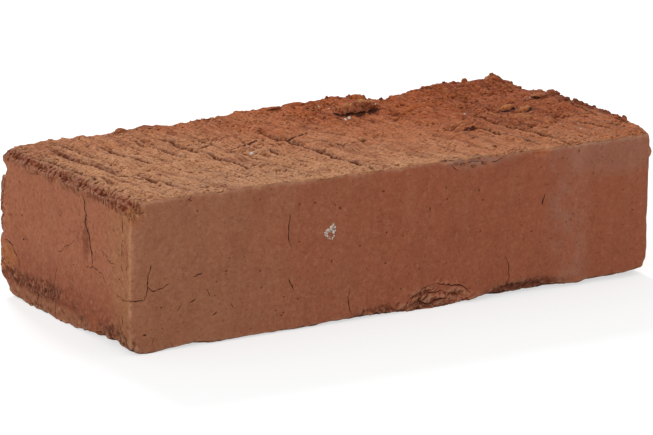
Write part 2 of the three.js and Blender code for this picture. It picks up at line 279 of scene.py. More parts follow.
# Pits where the wire pulled a crumb right out: place on the bed, half-sizes and depth.
pits = [
    ((-98, 4), (2.6, 4.0), 0.7), ((-99, -3), (2.2, 2.6), 0.6), ((-75, 11.5), (2.6, 2.0), 0.6),
    ((-78, 4), (2.2, 3.0), 0.6), ((-76, -2), (2.0, 2.4), 0.6), ((-90, -7.5), (2.4, 2.2), 0.6),
    ((-79, 21), (1.8, 2.6), 0.6), ((-48, 25), (2.6, 2.4), 0.7), ((-17, 15), (3.4, 6.0), 0.5),
    ((-32, 28), (2.4, 3.0), 0.7), ((-66, 39), (3.4, 2.4), 0.4), ((-50, 46), (2.4, 3.0), 0.7),
    ((100, -26.5), (3.8, 4.5), 1.0), ((88, -17), (9.0, 5.0), 0.6), ((121, 2.5), (4.2, 3.0), 0.4),
    ((96.5, 0), (2.0, 4.0), 1.2),
    ((85, 42), (4.0, 2.4), 1.0), ((63, 45), (2.2, 3.0), 1.0), ((62, 35), (2.0, 2.6), 1.0),
    ((118, 20.5), (3.0, 2.4), 1.2), ((13.5, -8), (1.8, 1.6), 0.9), ((92.5, -29), (2.0, 2.0), 0.9),
    ((46, 20), (2.0, 2.4), 0.8), ((56.5, -47), (1.6, 1.6), 0.8), ((13, 8), (1.8, 1.4), 0.9),
]


def drawn_out(tree, place, way, ratio):
    """The place squeezed along one way, so that a noise read there is drawn out that way."""
    way = Vector(way).normalized()
    onward = node(tree, "ShaderNodeVectorMath", {0: place, 1: tuple(way)}, operation="DOT_PRODUCT")
    squeeze = node(tree, "ShaderNodeVectorMath", {0: tuple(way), "Scale": calc(
        tree, "MULTIPLY", onward.outputs["Value"], 1.0 / ratio - 1.0)}, operation="SCALE")
    return vector_calc(tree, "ADD", place, output(squeeze))


def nicks(tree, place, furrowed):
    """Where the wire plucked crumbs out of the bed: short nicks across its travel, in clusters."""
    level = vector_calc(tree, "MULTIPLY", place, (1.0, 1.0, 0.0))
    crumb = noise(tree, drawn_out(tree, level, (1.0, 0.1, 0.0), 2.0), 1.2, 3.0, 0.6)
    patchy = noise(tree, level, 16.0, 3.0)
    likely = total(tree, crumb, swing(tree, patchy, 0.35), product(tree, furrowed, 0.12))
    return rise(tree, likely, 0.6, 0.7)


def patch(tree, place, centre, reach, soft=0.35):
    """One within an oval patch of the given middle and half-sizes, fading to nothing at its rim."""
    aside = vector_calc(tree, "DIVIDE", vector_calc(tree, "SUBTRACT", place, centre), reach)
    distance = node(tree, "ShaderNodeVectorMath", {0: aside}, operation="LENGTH").outputs["Value"]
    return rise(tree, distance, 1.0 - soft, 1.0 + soft, 1.0, 0.0)


def clean_cut(tree, place):
    """One where the wire ran cleanest: over the front of the bed, right of its middle."""
    middle = patch(tree, place, (38.0, -32.0, 66.0), (48.0, 34.0, 30.0), 0.5)
    corner = patch(tree, place, (106.0, -42.0, 66.0), (30.0, 28.0, 30.0), 0.5)
    return calc(tree, "MAXIMUM", middle, product(tree, corner, 0.4))


def shaken(tree, place, amount, size=2.6):
    """The place moved about by a random few millimetres, for ragged outlines."""
    noise_there = node(tree, "ShaderNodeTexNoise", {"Vector": place, "Scale": 1.0 / size})
    return vector_calc(tree, "ADD", place, vector_calc(
        tree, "MULTIPLY_ADD", noise_there.outputs["Color"], (2.0 * amount,) * 3, (-amount,) * 3))


def recall(tree, name):
    return output(node(tree, "GeometryNodeInputNamedAttribute", {"Name": name}, data_type="FLOAT"))


tear, mesh, place = new_relief("wire_torn_bed")
x, y, z = split(tear, place)
torn = recall(tear, "torn")
patchy = noise(tear, place, 24.0, 2.0)
clustered = rise(tear, noise(tear, place, 13.0, 3.0, 0.6), 0.4, 0.62, 0.6, 1.4)
grit = product(tear, swing(tear, noise(tear, place, 1.3, 4.0, 0.75), 0.95), clustered)
streak = swing(tear, noise(tear, drawn_out(tear, place, drag, 10.0), 1.8, 3.0), 0.8)
flake = noise(tear, drawn_out(tear, place, (1.0, 0.1, 0.0), 1.8), 6.0, 5.0, 0.7)
scarp = rise(tear, flake, 0.5, 0.54, -0.12, 0.12)
worst = total(tear, product(tear, x, 0.5), y, swing(tear, patchy, 60.0))
worse = total(tear, rise(tear, worst, -20.0, 60.0, 0.88, 1.02),
              product(tear, clean_cut(tear, place), -0.35))
swell = swing(tear, noise(tear, place, 11.0, 2.0), 0.55)
# no groove runs straight or even: each wanders aside and is broken by bridges of clay
wander = total(tear, swing(tear, noise(tear, place, 14.0, 2.0), 1.4),
               swing(tear, noise(tear, place, 5.0, 3.0, 0.6), 1.4),
               swing(tear, noise(tear, place, 1.8, 2.0), 1.0))
broken = product(tear, rise(tear, noise(tear, place, 2.0, 3.0, 0.6), 0.36, 0.58, 0.6, 1.1),
                 rise(tear, noise(tear, place, 9.0, 2.0), 0.38, 0.56, 0.7, 1.15))
cut_lines = [groove(tear, place, wander, broken, *each) for each in furrows + tears]
inside = cut_lines[0][0]
for line in cut_lines[1:len(furrows)]:
    inside = calc(tear, "MAXIMUM", inside, line[0])
for line in cut_lines[len(furrows):]:
    inside = calc(tear, "MAXIMUM", inside, product(tear, line[0], 0.5))
plucked = product(tear, nicks(tear, place, inside), -0.75)
relief = total(tear, swell, product(tear, worse, total(tear, grit, streak, scarp, plucked)),
               *(line[1] for line in cut_lines))
moved = shaken(tear, place, 2.4)
for centre, reach, depth in pits:
    pit = patch(tear, moved, (*centre, 0.0), (*reach, any_height), 0.3)
    relief = total(tear, relief, product(tear, pit, -depth))
# the far torn wall of each furrow and tear, kept for the painted shade in the colours
mesh = remember(tear, mesh, "furrow_wall_shade", product(tear, torn, inside))
mesh = push(tear, mesh, normal(tear), product(tear, torn, relief))
apply_relief(tear, mesh)


# ---- The fibres over the left arris -----------------------------------------
# Where the wire came over the left header's upper arris it drew the clay out in a comb of short
# fibres that roll over the arris like the lay of a rope, and broke off ragged.

comb, mesh, place = new_relief("fibres_over_the_arris")
between = rise(comb, strands(comb, place), 0.0, 0.2, 1.0, 0.0)
worn_away = rise(comb, noise(comb, place, 6.0, 2.0), 0.38, 0.6, 0.2, 1.25)
crumbly = swing(comb, noise(comb, place, 1.6, 3.0, 0.65), 0.7)
standing = rise(comb, split(comb, place)[0], -121.0, -124.0, 0.0, 0.7)
relief = total(comb, standing, product(comb, between, worn_away, -1.9), crumbly)
mesh = push(comb, mesh, (-0.7, 0.0, 0.7), product(comb, recall(comb, "over_arris"), relief))
apply_relief(comb, mesh)


# ---- The die's skin ---------------------------------------------------------
# The die irons the column smooth, so the upright faces only wave a little, with small pits
# where grit pulled out. Here and there it is scuffed: in a band just above the left header's foot,
# and in spots along the arrises. At the foot of the front stretcher a flake has spalled off.

die, mesh, place = new_relief("die_skin")
x, y, z = split(die, place)
smooth_skin = calc(die, "SUBTRACT", 1.0, recall(die, "torn"))
wave = swing(die, noise(die, drawn_out(die, place, (0, 0, 1), 2.5), 16.0, 2.0), 1.2)
dimple = swing(die, noise(die, place, 5.0, 4.0, 0.65), 0.42)
pull_out = product(die, rise(die, noise(die, place, 2.2, 1.0), 0.74, 0.8), -0.5)
low_down = total(die, z, swing(die, noise(die, place, 10.0, 3.0), 8.0))
on_left = rise(die, x, -121.0, -124.0)
front_to_back = total(die, y, swing(die, noise(die, place, 14.0), 16.0))
scuffed = product(die, bump_between(die, low_down, 8.5, 12.5, 3.5), on_left,
                  rise(die, noise(die, place, 10.0, 3.0), 0.36, 0.52, 0.3, 1.0),
                  rise(die, front_to_back, -24.0, 24.0, 0.2, 1.0))
moved = shaken(die, place, 3.0, 2.0)
# scuffs where the soft clay was handled or dragged: the middle of each and its half-sizes
scuffs = [
    ((64, -61, 2), (20, 6, 4.0)), ((-8, -61, 1), (14, 6, 3.5)), ((42, -61, 66), (14, 4, 3)),
    ((-126, -42, 4), (5, 16, 5)), ((-126, -54, 2), (6, 7, 6)), ((-126, 60, 40), (4, 3.5, 16)),
    ((-126, 61, 8), (4, 4, 12)), ((-126, -15, 3), (5, 6, 4)), ((-126, 24, 1), (5, 9, 2.5)),
    ((38, 61, 2), (26, 6, 4)), ((-72, 61, 1), (18, 6, 4.5)), ((-14, 61, 63), (22, 5, 3)),
    ((126, 22, 3), (5, 20, 6)), ((126, -40, 1), (5, 12, 4)),
]
for centre, reach in scuffs:
    scuffed = calc(die, "MAXIMUM", scuffed, patch(die, moved, centre, reach))
spalled = product(die, patch(die, moved, (20, -60, 4), (19, 9, 8)), rise(die, y, -60.2, -59.2))
rough = calc(die, "MULTIPLY_ADD", noise(die, place, 2.4, 4.0, 0.7), 3.0, -1.9)
lip = product(die, on_left, rise(die, low_down, 8.0, 4.0),
              swing(die, noise(die, place, 6.0, 4.0, 0.6), 1.8))
flake = noise(die, drawn_out(die, place, (1, 0, 0.5), 2.0), 2.8, 5.0, 0.8)
flaky = calc(die, "MULTIPLY_ADD", flake, 5.0, -1.2)
far_arris = patch(die, place, (-126, 61, 27), (6, 7, 22))
torn_edge = calc(die, "MULTIPLY_ADD", noise(die, place, 3.0, 3.0, 0.65), 3.0, 0.0)
relief = total(die, wave, dimple, pull_out, lip, product(die, scuffed, rough),
               product(die, spalled, flaky), product(die, far_arris, torn_edge))
mesh = push(die, mesh, normal(die), product(die, smooth_skin, relief))
mesh = remember(die, mesh, "scuffed", scuffed)
apply_relief(die, mesh)


# ---- Worn arrises -----------------------------------------------------------
# Dry clay is soft, and handling and stacking rubbed its arrises round and nibbled them before
# the fire made them hard. The lower bed was pressed flat on what the brick was set down on.

def standing_proud(tree, place, steps):
    """How far the clay stands out from its surroundings, in millimetres."""
    around = vector_calc(tree, "SUBTRACT", place, blurred(tree, place, steps))
    return node(tree, "ShaderNodeVectorMath", {0: around, 1: normal(tree)},
                operation="DOT_PRODUCT").outputs["Value"]


wear, mesh, place = new_relief("worn_arrises")
nibble = rise(wear, noise(wear, place, 4.0, 4.0, 0.65), 0.45, 0.7, 0.1, 1.4)
rubbed = product(wear, rise(wear, standing_proud(wear, place, 14), 0.35, 1.0), nibble, -0.9,
                 calc(wear, "MULTIPLY_ADD", recall(wear, "torn"), -0.7, 1.0))
mesh = push(wear, mesh, normal(wear), rubbed)
apply_relief(wear, mesh)

# The finished relief is read back: where it stands proud of its surroundings and where it is
# hollow, finely and broadly: painted highlights go on what stands proud, painted shade in hollows.
depth, mesh, place = new_relief("ridges_and_hollows")
for name, steps in (("grain_height", 4), ("broad_height", 16)):
    mesh = remember(depth, mesh, name, standing_proud(depth, place, steps))
apply_relief(depth, mesh)

# The flat parts need few facets.
most_triangles = 154000
apply_modifier("DECIMATE", ratio=most_triangles / (2 * len(brick.data.polygons)))

# Nothing hangs below the lower bed.
flat, mesh, place = new_relief("flat_lower_bed")
position = output(node(flat, "GeometryNodeInputPosition"))
level = vector_calc(flat, "MAXIMUM", position, (-1.0, -1.0, 0.0))
mesh = node(flat, "GeometryNodeSetPosition", {"Geometry": mesh, "Position": level}).outputs[0]
apply_relief(flat, mesh)


# ---- Crumbs -----------------------------------------------------------------
# The wire rolls up crumbs of clay and leaves them on the cut, most along the back and right
# arrises. Each is a rough little ball, half sunk in the bed and burnt fast to it.

random.seed(5)
X, Y, Z = Vector((1, 0, 0)), Vector((0, 1, 0)), Vector((0, 0, 1))


def rough_ball(place, size, shape=None, fineness=2):
    """A ball with its facets strayed, stretched to a shape or at random."""
    bpy.ops.object.select_all(action="DESELECT")
    bpy.ops.mesh.primitive_ico_sphere_add(
        subdivisions=fineness, radius=size * mm, location=place * mm)
    bpy.ops.object.mode_set(mode="EDIT")
    bpy.ops.transform.resize(value=shape or [random.uniform(0.5, 1.3) for _ in range(3)])
    bpy.ops.transform.vertex_random(offset=0.4 * size * mm, seed=random.randrange(99))
    bpy.ops.object.mode_set(mode="OBJECT")
    return bpy.context.object


def joined(pieces, name, domain="POINT", **marks):
    """The pieces as one mesh at the origin, marked all over for the colours."""
    choose(*pieces)
    bpy.ops.object.join()
    bpy.ops.object.transform_apply()
    whole = bpy.context.object
    whole.name = name
    for mark_name, value in marks.items():
        made = whole.data.attributes.new(mark_name, "FLOAT", domain)
        made.data.foreach_set("value", [value] * len(made.data))
    return whole


def combine(other, operation):
    """Joins another mesh to the brick, or cuts it out of the brick."""
    choose(brick)
    apply_modifier("BOOLEAN", operation=operation, object=other, solver="MANIFOLD")
    bpy.data.objects.remove(other)


def upper(*points, sunk=0.3):
    """Places on the bed, a little below its height there."""
    spots = [brick.ray_cast(Vector((*point, 100)) * mm, -Z)[1] / mm for point in points]
    return [Vector((spot.x, spot.y, spot.z - sunk)) for spot in spots]


def crumb_spot(along, across, size):
    """A random place on the bed and a crumb's size, each within a pair of bounds."""
    return [random.uniform(low, high) for low, high in (along, across, size)]


# a close row of crumbs along the right arris, its back half finer, and a loose row at the back
spots = []
for middle in range(-44, 6, 2):
    spots.append(crumb_spot((121.5, 124.0), (middle - 1.0, middle + 1.0), (0.9, 1.7)))
for middle in range(6, 58, 3):
    spots.append(crumb_spot((122.0, 124.5), (middle - 1.5, middle + 1.5), (0.4, 0.9)))
for middle in range(20, 122, 5):
    spots.append(crumb_spot((middle - 3, middle + 3), (56.5, 59.0), (0.7, 1.5)))
for middle in range(-115, 20, 22):
    spots.append(crumb_spot((middle - 7, middle + 7), (56.0, 58.0), (0.5, 0.9)))
# and crumbs strewn over the bed, more of them at the back right
for _ in range(34):
    spots.append(crumb_spot((40, 122), (-10, 57), (0.5, 1.2)))
for _ in range(26):
    spots.append(crumb_spot((-118, 40), (-40, 56), (0.4, 0.9)))
crumbs = [rough_ball(upper((along, across))[0], size) for along, across, size in spots]
# the big curl, rolled up lump by lump, and the crumbs that broke off along its foot
for step in range(9):
    spot = (29.0 + 2.3 * step, 45.5 - 0.6 * step)
    size = 1.2 + 0.7 * math.sin(math.pi * (step + 1) / 10)
    crumbs.append(rough_ball(upper(spot, sunk=1.5)[0], size, (1.4, 1.0, 1.0)))
for step in range(18):
    spot = (28.5 + 1.15 * step, 40.6 + random.uniform(-0.7, 0.5))
    crumbs.append(rough_ball(upper(spot)[0], random.uniform(0.5, 0.9)))
# clods along the back and right arrises: the place of each, how deep it is sunk, its size, and
# how far it is drawn out along the brick, across it and upwards
clods = [
    ((123.0, 15.5), 0.2, 2.4, (1.2, 1.5, 0.9)), ((110.0, 14.8), 0.6, 1.5, (2.4, 0.9, 0.8)),
    ((115.5, 14.4), 0.5, 1.8, (2.0, 0.9, 0.9)), ((113.0, 57.0), 0.5, 1.8, (2.4, 1.0, 0.6)),
    ((122.5, 51.5), 0.4, 1.2, (1.0, 1.2, 0.9)), ((122.6, 44.6), 0.0, 1.5, (1.0, 1.2, 0.9)),
    ((107.5, 55.0), 0.7, 3.0, (2.2, 1.0, 0.5)), ((101.0, 55.5), 1.1, 2.6, (1.9, 1.0, 0.6)),
    ((3.0, 57.0), 0.5, 2.4, (2.6, 1.0, 0.5)), ((15.0, 57.5), 0.4, 2.4, (2.6, 1.0, 0.5)),
    ((24.0, 57.5), 0.5, 2.2, (2.0, 1.0, 0.5)), ((-58.0, 57.5), 0.5, 2.4, (2.6, 1.0, 0.5)),
    ((-69.0, 57.5), 0.2, 1.9, (1.6, 1.0, 0.7)),
]
for spot, sunk, size, shape in clods:
    crumbs.append(rough_ball(upper(spot, sunk=sunk)[0], size, shape))
# clay dragged down at the front left corner
for place, size in (((-123.9, -58.4, 60.0), 1.2), ((-122.8, -59.4, 59.0), 1.3),
                    ((-120.6, -59.6, 60.5), 1.1)):
    crumbs.append(rough_ball(Vector(place), size, (0.8, 0.8, 2.6), fineness=3))
combine(joined(crumbs, "crumbs", torn=1.0, grain_height=0.03, broad_height=0.0), "UNION")


# ---- Cracks and pocks -------------------------------------------------------
# The clay shrinks as it dries and cracks open, most of all where the wire tore it, and grit and
# air leave small pocks in the skin. Each is a wandering wedge or a rough ball of space sunk into
# a face. The lower arrises are nibbled by handling.

crack_depth = 2.6
above_face = 1.2    # how far a wedge stands out of the face, so that it cuts right through it
wedge_side = 1.732  # side of an even triangle whose corners lie one away from its middle
kink = 1.3          # a crack changes its way about this often
header_lean, stretcher_lean, half_height = 0.875, 0.35, 32.0  # how the upright faces lean
spaces = []


def met(place, inward):
    """The place moved straight in or out on to the brick's face, if that is near."""
    spot = brick.ray_cast((place - 4.0 * inward) * mm, inward)[1] / mm
    return spot if (spot - place).length < 3.0 else place


def stretched(*ways):
    """Factors for a resize from pairs of a way along an axis and a factor."""
    factors = Vector((1, 1, 1))
    for way, factor in ways:
        factors += (factor - 1) * Vector([abs(part) for part in way])
    return factors


def crack(line, inward, opening, gape, stray=0.35):
    """A thin wandering wedge of space sunk into a face along a line, widest at the face.

    It gapes along one axis, less towards its two ends, and its line strays a little."""
    points = []
    for start, end in zip(line, line[1:]):
        steps = max(1, round((end - start).length / kink))
        points += [start.lerp(end, step / steps) for step in range(steps)]
    points = [point + opening * random.uniform(-stray, stray) for point in points] + [line[-1]]
    points = [met(point, inward) for point in points]
    tall = (crack_depth + above_face) / 1.5
    turn = Matrix((opening, inward, opening.cross(inward))).transposed().to_euler()
    bpy.ops.object.select_all(action="DESELECT")
    bpy.ops.mesh.primitive_circle_add(
        vertices=3, radius=mm, fill_type="NGON", rotation=turn,
        location=(points[0] + (tall / 2 - above_face) * inward) * mm)
    bpy.ops.object.mode_set(mode="EDIT")
    wide = 0.25 * gape / wedge_side
    bpy.ops.transform.resize(value=stretched((inward, tall), (opening, wide)))
    for step in range(1, len(points)):
        onward = points[step] - points[step - 1]
        before, share = wide, step / (len(points) - 1)
        opened = 0.25 + 0.75 * math.sin(math.pi * share) ** 0.5
        wide = gape / wedge_side * opened * random.uniform(0.55, 1.3)
        bpy.ops.mesh.extrude_region_move(TRANSFORM_OT_translate={"value": onward * mm})
        bpy.ops.transform.resize(value=stretched((opening, wide / before)))
    bpy.ops.mesh.select_all(action="SELECT")
    bpy.ops.mesh.normals_make_consistent(inside=False)
    bpy.ops.object.mode_set(mode="OBJECT")
    spaces.append(bpy.context.object)


def left_header(*points):
    """Places on the left header from pairs of a distance from the middle and a height."""
    return [Vector((left - header_lean * (1 - height / half_height), across, height))
            for across, height in points]


def front_stretcher(*points):
    return [Vector((along, front + stretcher_lean * (1 - height / half_height), height))
            for along, height in points]


def back_stretcher(*points):
    return [Vector((along, back + 0.8, height)) for along, height in points]


def right_header(*points):
    return [Vector((right + 0.5, across, height)) for across, height in points]


def beneath(*points):
    """Places at the foot of a lump, at the height of the bed just in front of it."""
    heights = [upper((along, across - 3.0))[0].z for along, across in points]
    return [Vector((*point, height + 0.7)) for point, height in zip(points, heights)]


# The cracks of each face: the way each opens, how wide, and its line over the face.
# The last two of the front stretcher are the rim of the spalled place at its foot.
left_header_cracks = [
    (Y, 1.3, (-16, 61), (-18, 55), (-19, 49.5)),
    (Y, 2.5, (-18.5, 51), (-19, 46.5), (-23, 40), (-25, 35), (-25.5, 31.5)),
    (Z, 0.6, (-19, 29), (-26, 30.5), (-34, 29.5), (-38, 26), (-41, 21)),
    (Z, 0.5, (7, 30), (3, 31), (0, 33.5), (-4, 35), (-9, 38)),
    (Y, 0.6, (6, 24), (9, 20), (11, 13)), (Z, 0.5, (-8, 43), (-13, 38)),
    (Z, 1.5, (55, 25), (50, 23), (44, 18)), (Y, 1.4, (44, 19), (43.5, 15)),
    (Z, 0.6, (-33, 40), (-38, 37.5), (-40, 36), (-46, 36)),
    (Z, 0.6, (-47, 24), (-54, 22.5), (-60, 23.5)), (Z, 0.5, (-8, 54), (-14, 50)),
    (Z, 0.5, (34, 58), (25, 59)), (Z, 0.5, (41, 28), (36, 28.5), (34, 25)),
    (Y, 2.2, (27, 7.5), (26, 0)), (Y, 1.1, (10, 8), (9, 0)), (Y, 1.0, (-50, 12), (-53, 7)),
    (Y, 1.1, (-52.5, 57), (-53.5, 50.5)), (Y, 1.1, (-52.5, 47), (-53.5, 40.5)),
    (Y, 1.1, (-52.5, 38), (-53.5, 34)), (Y, 1.1, (-52.5, 31), (-53.5, 29)),
    (Y, 1.1, (-52.5, 16), (-53.5, 12)), (Y, 0.6, (-57, 45), (-57.5, 38), (-57, 33)),
]
front_stretcher_cracks = [
    (Z, 0.9, (-125, 23.5), (-119, 23)),
    (X, 1.0, (-119, 23), (-117.5, 26), (-117, 29), (-117.5, 31), (-116, 35), (-115.5, 38)),
    (Z, 0.9, (-117.6, 30), (-116.6, 27.8), (-114.5, 26.5), (-111, 27), (-107, 28.5)),
    (X, 0.9, (-50.5, 51), (-51.5, 44), (-51.5, 40), (-50, 36)), (X, 1.2, (-51.5, 23), (-49, 17.5)),
    (X, 0.6, (-22.5, 15), (-23.5, 10), (-22, 3)), (X, 1.3, (72.5, 43), (71, 38.5)),
    (X, 0.7, (53.5, 18), (55, 14), (55, 8), (53.5, 4)), (Z, 0.7, (-99, 62), (-96, 64)),
    (Z, 0.6, (26, 62), (30, 58.5)), (Z, 0.6, (35, 61.5), (43, 60.5)), (Z, 0.5, (46, 60), (52, 61)),
    (Z, 0.7, (5, 1), (7, 6), (12, 9.5), (19, 11)), (Z, 1.0, (19, 11), (25, 9.5), (31, 8.5), (36, 5)),
]
for opening, gape, *line in left_header_cracks:
    crack(left_header(*line), X, opening, gape)
for opening, gape, *line in front_stretcher_cracks:
    crack(front_stretcher(*line), Y, opening, gape)
# the loose flakes within the spalled place
for line in (((12, 3), (16, 7), (22, 7.5)), ((10.5, 4), (15.5, 2.4), (21, 4.2), (25, 3.6))):
    crack([point + 1.6 * Y for point in front_stretcher(*line)], Y, Z, 1.1)
# short scratches low on the stretcher
scratches = [
    ((-98, 19), (-94.5, 20.5)), ((-104, 16), (-101, 19)), ((-96, 30), (-91.5, 31)),
    ((-90, 24), (-88, 20)), ((-112, 14), (-111, 16.5)), ((-87.5, 12), (-85, 13.5)),
    ((-116, 3.5), (-114.5, 6.5)), ((-79, 17), (-77.5, 14)), ((30, 24), (31, 21.5)),
]
for scratch in scratches:
    crack(front_stretcher(*scratch), Y, Z, 0.9)
# on the bed, the first four of them ragged
bed_cracks = [
    (Y, 2.8, 0.8, (-43, 8.5), (-36, 10.5), (-30, 13), (-22, 15), (-15, 12), (-9, 14.5), (1, 18)),
    (Y, 1.4, 0.9, (102, -14), (107.5, -18.5), (114, -24.5)),
    (Y, 1.8, 0.8, (-121, -14), (-114, -12.5), (-108, -11.5)),
    (X, 1.8, 0.8, (-107.5, -12), (-105, -15.5), (-103, -20), (-99, -25), (-98, -29)),
    (Y, 1.5, 0.35, (60, -13.5), (65, -12), (70, -10.7)),
    (Y, 1.4, 0.35, (82.5, -17.5), (86.5, -18), (91, -19.5)), (Y, 1.2, 0.35, (84, -15), (90, -14.5)),
    (Y, 1.2, 0.35, (25, -58), (30, -57), (34, -57.5)), (Y, 1.0, 0.35, (37, -57), (43, -57.6)),
]
for opening, gape, stray, *line in bed_cracks:
    crack(upper(*line), -Z, opening, gape, stray)
# the open undersides of the curl and of the lumps, and a crack through the curl
undersides = [
    (3.0, (26, 41.5), (30, 40.5), (35, 40), (40, 39.8), (45, 40.3), (49, 41.5)),
    (1.1, (92, 9.5), (96, 8.5), (101, 9)), (1.1, (97.5, 0), (101, -1.5), (104, -1)),
    (1.4, (106, 13.5), (111, 13), (115.5, 13.5)), (1.6, (106, 18), (112, 18.5)),
]
for gape, *line in undersides:
    crack(beneath(*line), Y, Z, gape)
crack([Vector(place) for place in ((36.5, 41.5, 67.0), (37.2, 40.4, 66.0), (38.2, 39.6, 64.8))],
      Y, X, 0.7)
back_stretcher_cracks = [
    (X, 1.0, (-31, 56), (-33, 48), (-31, 41), (-34, 36)), (X, 1.0, (82, 19), (84, 12), (83, 5)),
    (X, 1.0, (-90, 30), (-88, 24)), (Z, 0.9, (20, 12), (27, 14), (35, 12.5), (41, 8)),
]
for opening, gape, *line in back_stretcher_cracks:
    crack(back_stretcher(*line), -Y, opening, gape)
for line in (((18, 57), (17, 49), (20, 42), (19, 36)), ((-34, 16), (-33, 8), (-36, 2))):
    crack(right_header(*line), -X, Y, 1.1)

# The pocks of the two faces that show most, each with its place and size, and a scatter of
# them on the other two.
left_header_pocks = [
    (35, 9, 1.1), (20, 10, 1.0), (12, 8, 0.8), (-57, 37, 0.6), (40, 28, 0.5), (44, 52, 0.4),
    (30, 40, 0.4), (52, 36, 0.5), (22, 33, 0.4), (-34, 55, 0.4), (4, 46, 0.4), (-51, 31, 0.8),
]
front_stretcher_pocks = [
    (-81, 29, 0.4), (-86, 20.5, 0.4), (-110.5, 10, 0.4), (-111, 19, 0.5), (-119, 8.5, 1.0),
    (-93.5, 57.5, 0.6), (-101, 34, 0.4), (48, 8, 0.4), (2, 11, 0.5), (24.5, 47, 0.4),
    (61.5, 30.5, 0.4), (70, 25.5, 0.3), (77, 27.5, 0.4), (83.5, 29, 0.5), (97, 49, 0.5),
    (106.5, 53, 0.3), (112, 39.5, 0.5), (117, 30, 0.4), (112, 24, 0.4), (100, 13, 0.3),
    (10, 39, 0.3), (-55, 7.5, 0.6),
]
for across, height, size in left_header_pocks:
    spaces.append(rough_ball(met(left_header((across, height))[0], X), 0.85 * size))
for along, height, size in front_stretcher_pocks:
    spaces.append(rough_ball(met(front_stretcher((along, height))[0], Y), 0.8 * size))
for count, face, inward, reach, highest in ((22, back_stretcher, -Y, 118, 58),
                                            (12, right_header, -X, 54, 56)):
    for _ in range(count):
        place = face((random.uniform(-reach, reach), random.uniform(5, highest)))[0]
        spaces.append(rough_ball(met(place, inward), random.uniform(0.25, 0.6)))

# nibbles out of the four lower arrises: how many, how far to the right of the face's own
# place, and the bounds of where they lie along it, of their heights and of their sizes
nibbles = []
for count, face, to_right, along, heights, sizes in (
        (26, back_stretcher, 0.0, (-120, 120), (-0.5, 0.6), (0.8, 1.8)),
        (14, right_header, 0.3, (-56, 56), (-0.5, 0.6), (0.8, 1.8)),
        (30, left_header, 0.0, (-52, 56), (-0.6, 0.7), (0.7, 1.5)),
        (44, front_stretcher, 0.0, (-122, 122), (-0.5, 0.6), (0.7, 1.5))):
    for _ in range(count):
        place = face((random.uniform(*along), random.uniform(*heights)))[0] + to_right * X
        nibbles.append(rough_ball(place, random.uniform(*sizes)))
# and out of the far upright arris
for height in range(6, 62, 4):
    place = left_header((random.uniform(60, 61), height + random.uniform(-2, 2)))[0]
    nibbles.append(rough_ball(place, random.uniform(0.6, 1.2)))
# bigger ones at the front, along its foot and out of its upper arris
for along, size in ((-46, 1.3), (-9, 1.7), (-4, 1.8), (2, 2.2), (7, 2.0), (11, 2.6), (29, 1.6),
                    (35, 1.7), (88, 1.4)):
    nibbles.append(rough_ball(front_stretcher((along, -0.4))[0], size))
for along, across, size in ((24, -59.6, 0.9), (27, -59.8, 0.8), (33, -59.4, 1.0),
                            (38, -59.6, 0.9), (43, -59.6, 0.8)):
    nibbles.append(rough_ball(upper((along, across))[0], size, (1.8, 0.8, 0.8)))

# All of them are cut out at once. The cracks and pocks are marked, because they are deep in shade.
cuts = [joined(spaces, "spaces", domain="FACE", cleft=1.0),
        joined(nibbles, "nibbles", domain="FACE", cleft=0.35)]
combine(joined(cuts, "cuts", torn=1.0), "DIFFERENCE")

# Crumbs that the cuts set loose fall off: all but the biggest piece goes.
bpy.ops.object.mode_set(mode="EDIT")
bpy.ops.mesh.select_all(action="SELECT")
bpy.ops.mesh.separate(type="LOOSE")
bpy.ops.object.mode_set(mode="OBJECT")
pieces = sorted(bpy.context.selected_objects, key=lambda each: len(each.data.vertices))
brick = pieces.pop()
for loose in pieces:
    bpy.data.objects.remove(loose)
brick.name = "fired_brick"
choose(brick)


# ---- The fired clay ---------------------------------------------------------
# Common brick clay, rich in iron, burnt red-brown in the kiln. The die skin is dull and even with
# paler streaks drawn up by the die, and the torn bed is lighter, sandy and orange-tan.

def linear(colour):
    """A colour written as RRGGBB, as the shader wants it."""
    parts = [int(colour[i:i + 2], 16) / 255 for i in (0, 2, 4)]
    parts = [part / 12.92 if part <= 0.04045 else ((part + 0.055) / 1.055) ** 2.4 for part in parts]
    return (*parts, 1.0)


def mixed(tree, share, one, other, blend="MIX"):
    return node(tree, "ShaderNodeMix", {0: share, 6: one, 7: other}, data_type="RGBA",
                blend_type=blend, clamp_factor=True).outputs[2]


def new_finish(name):
    """A material, its empty node tree, and the place on the piece in millimetres."""
    material = bpy.data.materials.new(name)
    material.use_nodes = True
    tree = material.node_tree
    tree.nodes.clear()
    place = node(tree, "ShaderNodeTexCoord").outputs["Object"]
    return material, tree, vector_calc(tree, "DIVIDE", place, (mm, mm, mm))


clay, tree, place = new_finish("fired_red_clay")
x, y, z = split(tree, place)
facing = split(tree, node(tree, "ShaderNodeNewGeometry").outputs["Normal"])
mottle = noise(tree, place, 30.0, 4.0, 0.6)
blotch = noise(tree, place, 9.0, 4.0, 0.6)
fine_mottle = noise(tree, place, 1.8, 4.0, 0.75)
ragged_place = shaken(tree, place, 3.0)


def mark(name):
    return node(tree, "ShaderNodeAttribute", attribute_name=name).outputs["Fac"]


def tinted(colour, share, tint):
    """The colour so far with a share of another one laid over it."""
    return mixed(tree, share, colour, linear(tint))


def spotted(colour, centre, reach, share, tint, soft=0.35):
    """The colour so far with an oval spot of another one laid over it, ragged at its rim."""
    spot = patch(tree, ragged_place, centre, reach, soft)
    return tinted(colour, product(tree, spot, share), tint)


def darkened(colour, share):
    """The colour so far, multiplied darker towards a deep red-brown."""
    return mixed(tree, share, colour, (0.48, 0.31, 0.24, 1.0), "MULTIPLY")


